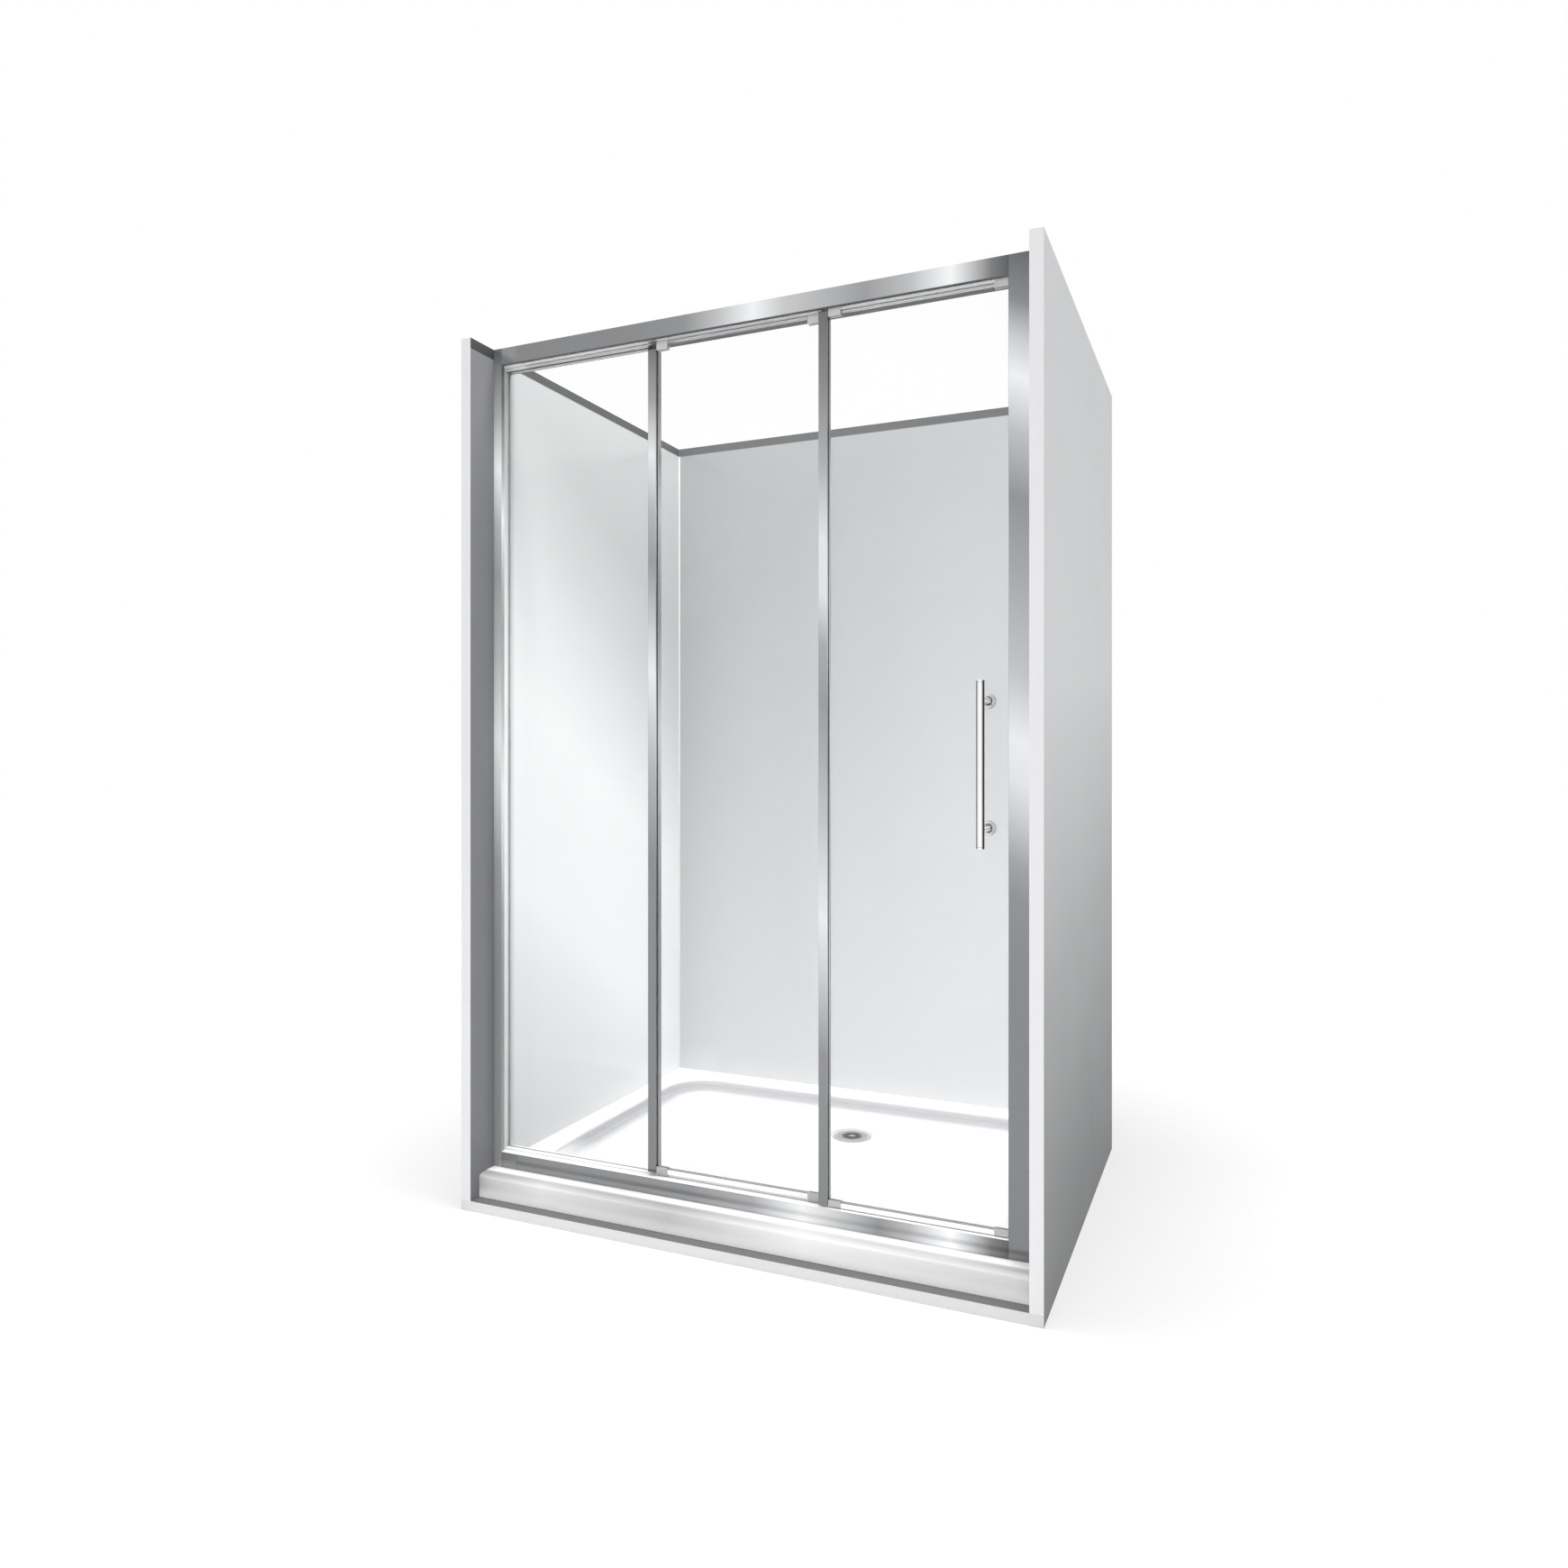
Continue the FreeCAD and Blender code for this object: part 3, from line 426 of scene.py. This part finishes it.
def trayFinish():
    material, web = newFinish("cast_tray")
    x, y, z = web.place()
    nx, ny, nz = web.facing()
    low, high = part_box("shower_tray")
    wasteLow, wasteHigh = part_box("waste_flange")
    middle = (wasteLow + wasteHigh) / 2
    forward = -y + low.y                       # 0 at the tray's front edge, below 0 behind it
    shelf, ripple, skin = tray["shelf"], tray["ripple"], tray["skin"]

    near, far = tray["coveReach"]
    inward = fromWall(web, x, y, tray["basin"])
    shade = web.rise(inward, *tray["coveEdge"]) * (1 - web.rise(inward, near, far))
    shade = shade * (1 - web.rise(-y, *tray["coveFront"]))
    tones = [grey(tray[part], tray["coveTint"]) for part in ("cove", "wall")]
    dim = web.mix(web.rise(z, *tray["coveFoot"]), *tones)
    raised = web.rise(z, *(high.z - depth for depth in tray["rimDepth"]))
    across, deep = x - middle.x, y - middle.y
    # painted shade: the recess ring around the waste
    ring = 1 - web.rise((across * across + deep * deep).root(), *tray["recessRadius"])

    # painted shade: floor darker than the rim
    colour = web.mix(raised, grey(tray["white"]), grey(tray["rim"]))
    colour = web.mix(shade, colour, dim)
    colour = web.mix(ring, colour, grey(tray["recess"]))
    # painted shade on the front part of the rim
    onShelf = web.rise(nz, *shelf["square"]) * web.rise(forward, *(-back for back in shelf["reach"]))
    darker = [(at, tone - shelf["darker"]) for at, tone in tray["front"]]
    colour = web.mix(onShelf, colour, web.bands(x, darker))
    # painted light and shade: the front's bands
    onFront = web.rise(-ny, *tray["frontSquare"])
    onFront = onFront * web.rise(forward, *(-back for back in tray["frontReach"]))
    # painted light towards the foot of the front
    foot = (1 - web.rise(z, *tray["foot"]["heights"])) * tray["foot"]["share"]
    colour = web.mix(onFront, colour, web.mix(foot, web.bands(x, tray["front"]), (1, 1, 1, 1)))

    waves = web.grain((1, 1, 1), ripple["scale"], 1)
    dots = web.grain((1, 1, 1), skin["scale"], 1)
    web.surface({
        "Base Color": colour,
        "Roughness": tray["roughness"] + (waves - 0.5) * ripple["roughness"],
        "Normal": web.relief(dots, skin["depth"], skin["strength"]),
    })
    return material


dress(["shower_tray"], trayFinish())
print("liners and tray finished")


# Bright metal: painted reflection, bands of light and dark that lie along each profile, on the sides out of
# step with the front

# painted reflection: tones along the header and sill
railReflectionBands = [(-0.6, 0.53), (-0.25, 0.55), (-0.117, 0.585), (-0.034, 0.78), (0.036, 0.955),
             (0.105, 0.79), (0.274, 0.625), (0.363, 0.75), (0.441, 0.97), (0.483, 0.75), (0.516, 0.5),
             (0.549, 0.38), (0.6, 0.38)]
sillReflectionBands = [(-0.6, 0.52), (-0.246, 0.545), (-0.117, 0.555), (0.036, 0.645), (0.143, 0.89),
             (0.2, 0.79), (0.3, 0.56), (0.36, 0.69), (0.441, 0.94), (0.483, 0.73), (0.516, 0.49),
             (0.549, 0.38), (0.6, 0.38)]
metals = {
    "header": {"nodes": ["header_rail", "header_infill"], "stops": railReflectionBands},
    "sill": {"nodes": ["sill_rail", "sill_infill"], "stops": sillReflectionBands},
    "jambRight": {
        "nodes": ["jamb_right"],
        "stops": [(0.07, 0.49), (0.6, 0.52), (0.721, 0.55), (0.786, 0.62), (0.932, 0.88), (1.005, 0.925),
                  (1.127, 0.77), (1.3, 0.67), (1.443, 0.585), (1.56, 0.75), (1.663, 0.945), (1.74, 0.78),
                  (1.8, 0.55), (1.89, 0.43)]},
    "jambLeft": {
        "nodes": ["jamb_left"],
        "metallic": 0.15,
        "stops": [(0.07, 0.57), (0.542, 0.57), (0.75, 0.64), (1.023, 0.95), (1.2, 0.76), (1.384, 0.65),
                  (1.5, 0.75), (1.624, 0.99), (1.74, 0.71), (1.89, 0.37)]},
    "stileOne": {
        "nodes": ["fixed_stile", "middle_stile_left", "middle_stile_right"],
        "stops": [(0.1, 0.5), (0.773, 0.55), (0.95, 0.7), (1.163, 0.93), (1.28, 0.77), (1.391, 0.62),
                  (1.5, 0.72), (1.618, 0.92), (1.73, 0.65), (1.86, 0.44)]},
    "stileTwo": {
        "nodes": ["door_stile_left", "door_stile_right"],
        "stops": [(0.1, 0.5), (0.4, 0.55), (0.666, 0.88), (0.85, 0.75), (1.087, 0.62), (1.2, 0.68),
                  (1.297, 0.89), (1.403, 0.9), (1.55, 0.7), (1.7, 0.56), (1.86, 0.44)]},
}
metalLook = {
    "roughness": 0.17,
    "tint": (-0.002, 0.002, 0.008),
    "square": (0.5, 0.8),                      # part of the normal that tells which way a face looks
    "soft": 0.0005,                            # width over which one tone gives way to the next
    "sideShift": 0.11,                         # metres that the bands of side faces are out of step
    "lean": 0.5,                               # how far the bands of an upright fall across its width
    "skin": 0.3945,                            # how far forward of the middle the inside of a rail begins
    "flat": 0.99,                              # inside a rail, and its faces that look up or down
    "flatMetallic": 0.3,                       # the same for the sill, and for the left ends of both rails
    "flatRoughness": 0.35,                     # how much rougher the inside is
    "lip": 0.42,                               # painted shade: dark lips of the rails and edge of the right jamb
    "lipBack": 0.393,                          # how far forward of the middle the lip ends
    "lipTop": 1.8545,                          # height to which the lip shows on the header's front
    "ends": (0.53, 0.548),                     # left ends, beside the board, are less like a mirror
    # painted shade: a dark shadow line along the right jamb's edge beside the board
    "jambEdge": (0.0018, 0.0012),
    "streaks": {"scale": 1400, "stretch": 0.004, "roughness": 0.1, "depth": 0.00002, "strength": 0.4},
}


def brightMetal(name, node):
    look = metals[name]
    rail = name in ("header", "sill")
    material, web = newFinish(f"bright_{node}")
    x, y, z = web.place()
    nx, ny, nz = web.facing()
    low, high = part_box(node)
    square, soft, lines = metalLook["square"], metalLook["soft"], metalLook["streaks"]
    if rail:
        along, stretch = x, (lines["stretch"], 1, 1)
    else:
        along = z + metalLook["lean"] * (x - (low.x + high.x) / 2)
        stretch = (1, 1, lines["stretch"])
    along = along + web.rise(abs(nx), *square) * metalLook["sideShift"]
    # painted reflection: bands of light and dark along the profile
    colour = web.bands(along, look["stops"], metalLook["tint"])
    metallic = look.get("metallic", 1.0)
    streaks = web.grain(stretch, lines["scale"], 2)
    roughness = metalLook["roughness"]
    if rail:
        # painted shade on the downward front lips of the rails, and the header's bottom strip
        lip = web.rise(-y, metalLook["lipBack"] - soft, metalLook["lipBack"] + soft)
        lip = lip * web.rise(-nz, *square)
        if name == "header":
            lip = lip.most(1 - web.rise(z, metalLook["lipTop"] - soft, metalLook["lipTop"]))
        inside = 1 - web.rise(-y, metalLook["skin"] - soft, metalLook["skin"])
        calm = web.rise(abs(nz), *square).most(inside)
        colour = web.mix(calm, colour, grey(metalLook["flat"]))
        colour = web.mix(lip, colour, grey(metalLook["lip"]))
        duller = web.rise(-x, *metalLook["ends"])
        if name == "sill":
            duller = duller.most(calm)
        metallic = 1 - duller * (1 - metalLook["flatMetallic"])
        streaks = streaks * (1 - calm) + calm * 0.5
        roughness = calm * metalLook["flatRoughness"] + roughness
    # painted shadow line along the right jamb's edge
    if name == "jambRight":
        edge = web.rise(x, *(high.x - back for back in metalLook["jambEdge"]))
        colour = web.mix(edge, colour, grey(metalLook["lip"]))
    web.surface({
        "Base Color": colour,
        "Metallic": metallic,
        "Roughness": (streaks - 0.5) * lines["roughness"] + roughness,
        "Normal": web.relief(streaks, lines["depth"], lines["strength"]),
    })
    return material


for name, look in metals.items():
    for node in look["nodes"]:
        dress([node], brightMetal(name, node))
print("frame finished")


# Handle and waste: chrome, toned by the way that the surface faces, in painted reflection

handle = {
    "across": (0.917, 0.399),                  # direction over which the bar's painted reflection goes from light to dark
    "bar": [(-1.0, 0.4), (-0.88, 0.58), (-0.7, 0.84), (-0.4, 0.97), (0.05, 0.97), (0.3, 0.66), (0.5, 0.38),
            (0.8, 0.24), (0.93, 0.3), (1.0, 0.7)],
    "post": [(-1.0, 0.4), (-0.85, 0.65), (-0.6, 0.99), (-0.05, 0.99), (0.1, 0.6), (0.25, 0.99), (0.6, 0.99),
             (0.85, 0.65), (1.0, 0.4)],
    "rosette": [(-1.0, 0.6), (-0.7, 0.82), (0.1, 0.93), (0.7, 0.82), (1.0, 0.6)],
    # painted reflection and shade: rings of tone across the rosette's face
    "rosetteFace": [(0.0, 0.2), (0.0079, 0.2), (0.0088, 0.86), (0.0126, 0.92), (0.0134, 0.6), (0.014, 0.6)],
    "faceSquare": (0.6, 0.9),
    "tint": (0, 0.001, 0.004),
    "seam": {"in": 0.0035, "width": 0.0003, "soft": 0.0002, "tone": 0.35},   # of the bar's end caps
    "smear": {"stretch": (1, 1, 0.2), "scale": 60, "roughness": 0.06},
    "roughness": 0.1,
    "metallic": 0.55,
}


def chrome(name, stops, face=None):
    material, web = newFinish(f"chrome_{name}")
    x, y, z = web.place()
    nx, ny, nz = web.facing()
    if name == "bar":
        seam = handle["seam"]
        low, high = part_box("handle_bar")
        # painted reflection: the bar's tone follows the way its surface faces
        across = nx * handle["across"][0] + ny * handle["across"][1]
        toMiddle = abs(z - (low.z + high.z) / 2)
        end = (high.z - low.z) / 2 - seam["in"]
        line = web.within(toMiddle, end - seam["width"], end, seam["soft"])
        colour = web.mix(line, web.bands(across, stops, handle["tint"]), grey(seam["tone"]))
    else:
        colour = web.bands(nz, stops, handle["tint"])
    if face:
        low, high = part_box("handle_rosettes")
        radius = (high.x - low.x) / 2
        across = x - (low.x + high.x) / 2
        upward = abs(z - (low.z + high.z) / 2) - ((high.z - low.z) / 2 - radius)
        # painted reflection and shade in rings on the rosette's face
        rings = web.bands((across * across + upward * upward).root(), face)
        colour = web.mix(web.rise(-ny, *handle["faceSquare"]), colour, rings)
    smear = web.grain(handle["smear"]["stretch"], handle["smear"]["scale"], 3)
    web.surface({
        "Base Color": colour,
        "Metallic": handle["metallic"],
        "Roughness": handle["roughness"] + (smear - 0.5) * handle["smear"]["roughness"],
    })
    return material


dress(["handle_bar"], chrome("bar", handle["bar"]))
dress(["handle_posts"], chrome("post", handle["post"]))
dress(["handle_rosettes", "handle_caps"], chrome("rosette", handle["rosette"], handle["rosetteFace"]))

waste = {                                      # painted reflection and shade: tones by distance from the middle of each piece
    "waste_flange": [(0.0, 0.5), (0.0245, 0.5), (0.026, 0.76), (0.0375, 0.76), (0.0385, 0.92),
                     (0.042, 0.92)],
    "waste_grate": [(0.0, 0.72), (0.0075, 0.72), (0.0088, 0.28), (0.011, 0.14), (0.02, 0.18),
                    (0.0235, 0.34), (0.0247, 0.5)],
    "waste_screw": [(0.0, 0.78), (0.006, 0.74)],
    "patch": {"scale": 40, "shift": 0.001},
    "turning": {"scale": 700, "roughness": 0.12, "depth": 0.00002, "strength": 0.4},
    "roughness": 0.22,
}


def wasteFinish(name):
    material, web = newFinish(name)
    x, y, z = web.place()
    low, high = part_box(name)
    middle = (low + high) / 2
    across, deep = x - middle.x, y - middle.y
    patch, turning = waste["patch"], waste["turning"]
    cloud = web.grain((1, 1, 1), patch["scale"], 2)
    marks = web.grain((1, 1, 1), turning["scale"], 2)
    radius = (across * across + deep * deep).root() + (cloud - 0.5) * patch["shift"]
    web.surface({
        # painted reflection and shade in rings
        "Base Color": web.bands(radius, waste[name]),
        "Metallic": 1.0,
        "Roughness": waste["roughness"] + (marks - 0.5) * turning["roughness"],
        "Normal": web.relief(marks, turning["depth"], turning["strength"]),
    })
    return material


for name in ("waste_flange", "waste_grate", "waste_screw"):
    dress([name], wasteFinish(name))
print("handle and waste finished")


# Glass: clear faces, and darker cut edges where light is caught

glass = {
    "face": {"alpha": 0.04, "tone": 0.95, "tint": (-0.01, 0.004, 0)},
    "edge": {"alpha": 0.7, "tone": 0.42, "tint": (-0.02, 0.02, 0.01)},
    "edgeSquare": (0.4, 0.6),
    "glint": 0.3,                              # painted reflection: how much the Fresnel term raises the opacity of the pale face colour
    "film": {"scale": 7, "alpha": 0.01},
    "bend": 1.5,
    "roughness": 0.03,
}


def glassFinish():
    material, web = newFinish("clear_glass")
    nx, ny, nz = web.facing()
    face, edge, film = glass["face"], glass["edge"], glass["film"]
    cut = web.rise(abs(nz), *glass["edgeSquare"])
    inner = web.add("NewGeometry").outs()[6]   # 1 on the far side of a face, seen from within the glass
    sheen = web.add("Fresnel", None, {"IOR": glass["bend"]}) * (1 - inner)
    cloud = web.grain((1, 1, 1), film["scale"], 3)
    # painted reflection: opacity of the pale face rises at grazing angles
    alpha = face["alpha"] + sheen * glass["glint"] + (cloud - 0.5) * film["alpha"]
    web.surface({
        "Base Color": web.mix(cut, grey(face["tone"], face["tint"]), grey(edge["tone"], edge["tint"])),
        "Roughness": glass["roughness"],
        "IOR": glass["bend"],
        "Alpha": alpha + cut * edge["alpha"],
    })
    return material


dress(["fixed_glass", "middle_glass", "door_glass"], glassFinish())


# Small parts: seals, nylon, rubber, steel, wood

smallParts = {
    "channel": {"tone": 0.9, "tint": (-0.004, 0.002, 0.002), "alpha": 0.03, "roughness": 0.3,
                "speck": 0.02, "grain": 60, "nodes": ["glazing_channel"]},
    "dripSeal": {"tone": 0.97, "roughness": 0.35, "speck": 0.02, "grain": 60, "darkTop": 0.001,
                 "nodes": ["middle_drip_seal", "door_drip_seal"]},
    "rubber": {"tone": 0.22, "tint": (0, 0, 0.004), "roughness": 0.7, "speck": 0.03, "grain": 300,
               "nodes": ["waste_gasket"]},
    "gasket": {"tone": 0.9, "roughness": 0.5, "speck": 0.02, "grain": 300,
               "nodes": ["glazing_gaskets"]},
    "buffer": {"tone": 0.6, "roughness": 0.7, "speck": 0.03, "grain": 300,
               "nodes": ["header_stops"]},
    "pile": {"tone": 0.9, "roughness": 0.9, "speck": 0.04, "grain": 900,
             "nodes": ["middle_pile_seal", "door_pile_seal"]},
    "nylon": {"tone": 0.86, "tint": (0, 0, -0.006), "roughness": 0.45, "speck": 0.02, "grain": 200,
              "nodes": ["setting_blocks", "middle_wheel_left", "middle_wheel_right",
                        "door_wheel_left", "door_wheel_right"]},
    "guide": {"tone": 0.7, "roughness": 0.45, "speck": 0.02, "grain": 200,
              "nodes": ["middle_guides", "door_guides"]},
    "hanger": {"tone": 0.76, "roughness": 0.4, "speck": 0.02, "grain": 60,
               "nodes": ["middle_hanger_left", "middle_hanger_right",
                         "door_hanger_left", "door_hanger_right"]},
    "magnet": {"tone": 0.74, "tint": (0, 0, 0.004), "roughness": 0.5, "speck": 0.02, "grain": 150,
               "nodes": ["door_magnet", "jamb_magnet"]},
    "wasteBody": {"tone": 0.3, "roughness": 0.5, "speck": 0.02, "grain": 120,
                  "nodes": ["waste_body"]},
    "wood": {"tone": 0.72, "tint": (0.06, -0.02, -0.14), "roughness": 0.6, "speck": 0.06, "grain": 80,
             "nodes": ["panel_dowels"]},
    "steel": {"tone": 0.74, "tint": (0, 0, 0.004), "roughness": 0.25, "speck": 0.04, "grain": 400,
              "metallic": 1.0,
              "nodes": ["jamb_screws", "corner_screws", "handle_studs",
                        "middle_axle_left", "middle_axle_right", "door_axle_left", "door_axle_right"]},
}
smallLook = {"patchRoughness": 0.1, "depth": 0.00003, "strength": 0.5, "topTone": 0.45, "topSoft": 0.0003}


def speckled(web, look, patch):                # a tone that goes a little up and down with the patches
    tint = look.get("tint", (0, 0, 0))
    return web.mix(patch, *(grey(look["tone"] + shift, tint) for shift in (-look["speck"], look["speck"])))


def plainFinish(name):
    look = smallParts[name]
    material, web = newFinish(name)
    patch = web.grain((1, 1, 1), look["grain"], 3)
    colour = speckled(web, look, patch)
    if "darkTop" in look:
        x, y, z = web.place()
        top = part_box(look["nodes"][0])[1].z - look["darkTop"]
        colour = web.mix(web.rise(z, top, top + smallLook["topSoft"]), colour, grey(smallLook["topTone"]))
    web.surface({
        "Base Color": colour,
        "Roughness": look["roughness"] + (patch - 0.5) * smallLook["patchRoughness"],
        "Metallic": look.get("metallic", 0.0),
        "Alpha": look.get("alpha", 1.0),
        "Normal": web.relief(patch, smallLook["depth"], smallLook["strength"]),
    })
    return material


for name, look in smallParts.items():
    dress(look["nodes"], plainFinish(name))
print("glass and small parts finished")


# Sealant: hollow quarter round beads in the corners between tray and liners

sealant = {
    "size": 0.0025,
    "steps": 6,
    "tone": 0.88,
    "speck": 0.02,
    "roughness": 0.3,
    "patch": {"scale": 90, "roughness": 0.1, "depth": 0.0001, "strength": 0.4},
}


def bead(name, stations, material):
    # across a bead u = size (1 - sin t) and v = size (1 - cos t), with t from 0 to a quarter turn, and
    # the corner closes it; each station says where the corner lies and which ways u and v go
    turn = np.linspace(0, math.pi / 2, sealant["steps"] + 1)
    across = np.append(sealant["size"] * (1 - np.sin(turn)), 0)
    upward = np.append(sealant["size"] * (1 - np.cos(turn)), 0)
    rings = [np.array(base) + np.outer(across, a) + np.outer(upward, b) for base, a, b in stations]
    count = len(across)
    around = np.arange(count)
    faces = [list(around[::-1]), list(around + count * (len(rings) - 1))]
    for ring in range(len(rings) - 1):
        first = around + ring * count
        second = np.roll(around, -1) + ring * count
        faces += np.stack([first, second, second + count, first + count], 1).tolist()
    mesh = bpy.data.meshes.new(name)
    mesh.from_pydata(np.vstack(rings).tolist(), [], faces)
    mesh.materials.append(material)
    piece = bpy.data.objects.new(name, mesh)
    bpy.context.scene.collection.objects.link(piece)
    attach(piece, bodyOf["shower_tray"])


def makeSealant():
    material, web = newFinish("sealant")
    look = sealant["patch"]
    patch = web.grain((1, 1, 1), look["scale"], 2)
    web.surface({
        "Base Color": speckled(web, sealant, patch),
        "Roughness": sealant["roughness"] + (patch - 0.5) * look["roughness"],
        "Normal": web.relief(patch, look["depth"], look["strength"]),
    })
    left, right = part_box("liner_left")[1].x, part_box("liner_right")[0].x
    back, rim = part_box("liner_back")[0].y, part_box("shower_tray")[1].z
    front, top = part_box("header_rail")[1].y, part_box("liner_back")[1].z
    up, towards = (0, 0, 1), (0, -1, 0)
    bead("tray_sealant", [
        ((left, front, rim), (1, 0, 0), up),
        ((left, back, rim), (1, -1, 0), up),
        ((right, back, rim), (-1, -1, 0), up),
        ((right, front, rim), (-1, 0, 0), up),
    ], material)
    for side, x, inward in (("left", left, 1), ("right", right, -1)):
        stations = [((x, back, z), (inward, 0, 0), towards) for z in (rim, top)]
        bead(f"corner_sealant_{side}", stations, material)


makeSealant()
print("sealant laid")


# Eased edges: boards, profiles, blocks and panes get the small rounding of real edges. Light passes
# through the clear ones, so they cast no shadow.

easedEdges = {
    "boards": {"width": 0.0008, "nodes": ["wall_left", "wall_right", "wall_back", "base_board"]},
    "metal": {"width": 0.0005,
              "nodes": ["header_rail", "sill_rail", "jamb_left", "jamb_right", "fixed_stile",
                        "middle_stile_left", "middle_stile_right", "door_stile_left",
                        "door_stile_right"]},
    "plastic": {"width": 0.0004,
                "nodes": ["header_infill", "sill_infill", "middle_guides", "door_guides",
                          "middle_hanger_left", "middle_hanger_right", "door_hanger_left",
                          "door_hanger_right"]},
    "clear": {"width": 0.0005,
              "nodes": ["fixed_glass", "middle_glass", "door_glass", "glazing_channel"]},
}
easing = {"levels": 2, "sharp": 30, "flat": 1, "merge": 1e-6}   # sharp and flat are angles in degrees


def easedCopy(name, width, shadow):
    source = nodes[name]
    shape = bmesh.new()
    shape.from_mesh(source.data)
    bmesh.ops.remove_doubles(shape, verts=shape.verts, dist=easing["merge"])
    flat = math.radians(easing["flat"])
    bmesh.ops.dissolve_limit(shape, angle_limit=flat, verts=shape.verts, edges=shape.edges)
    mesh = bpy.data.meshes.new(f"{name}_eased")
    shape.to_mesh(mesh)
    shape.free()
    mesh.materials.append(source.material_slots[0].material)
    piece = bpy.data.objects.new(f"{name}_eased", mesh)
    bpy.context.scene.collection.objects.link(piece)
    rounding = piece.modifiers.new("rounding", "BEVEL")
    rounding.width, rounding.segments = width, easing["levels"]
    rounding.limit_method, rounding.angle_limit = "ANGLE", math.radians(easing["sharp"])
    piece.visible_shadow = shadow
    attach(piece, bodyOf[name])
    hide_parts(name)


for kind, look in easedEdges.items():
    for name in look["nodes"]:
        easedCopy(name, look["width"], kind != "clear")
print("edges eased")
